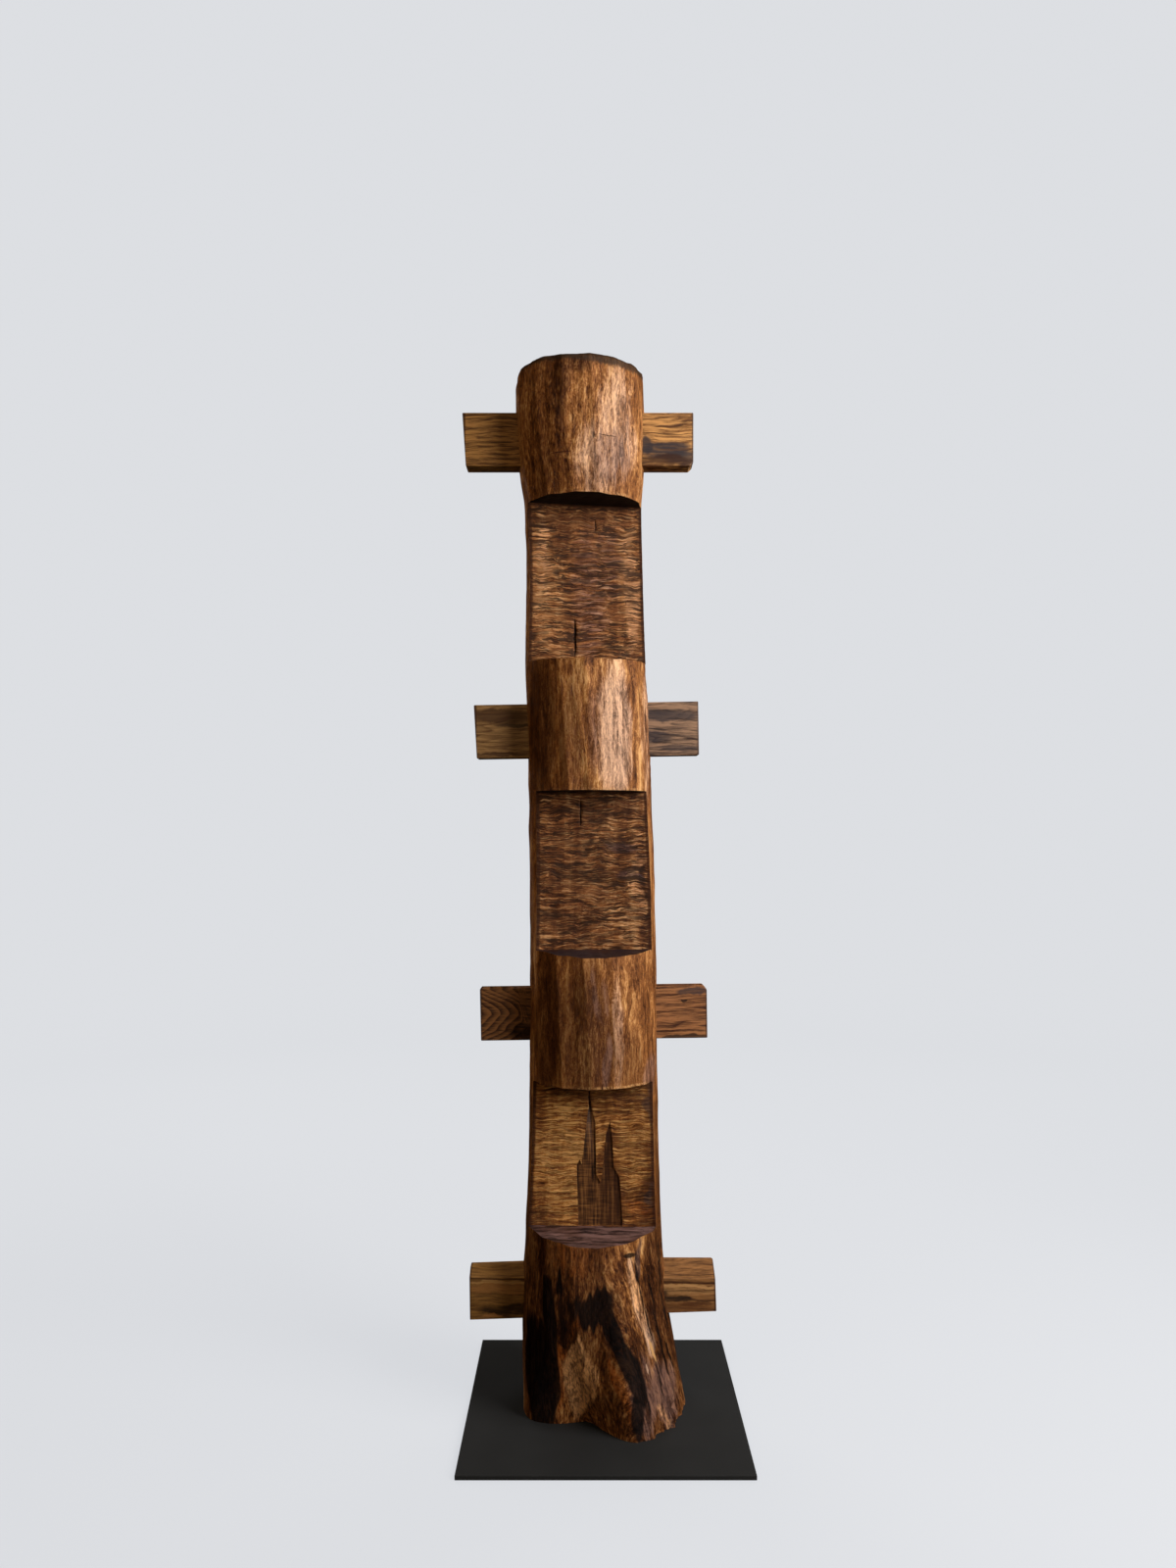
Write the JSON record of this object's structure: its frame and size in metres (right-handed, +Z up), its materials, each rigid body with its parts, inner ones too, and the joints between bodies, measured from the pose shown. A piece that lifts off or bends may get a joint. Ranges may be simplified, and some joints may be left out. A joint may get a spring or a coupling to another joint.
{
  "type": "wooden totem",
  "caption": "Standing wooden totem: a hewn log with flat notches cut into its front, boards let through it crosswise, and a square steel plate under its flared root.",
  "frame": {"origin": "centre of the base plate's underside", "axes": "+Z up along the log, +X to the right as seen from the front, and -Y out of the front, where the notches are"},
  "size_m": [0.5125, 0.5, 1.9426],
  "materials": {
    "trunk_wood": "oiled hewn hardwood, golden brown to dark umber, satin",
    "board_wood": "oiled planed hardwood with dark grain, satin",
    "black_steel": "matte black"
  },
  "bodies": {
    "root": {"trunk": "trunk_wood", "top_board": "board_wood", "upper_board": "board_wood", "lower_board": "board_wood", "foot_board": "board_wood", "base_plate": "black_steel"}
  },
  "joints": []
}
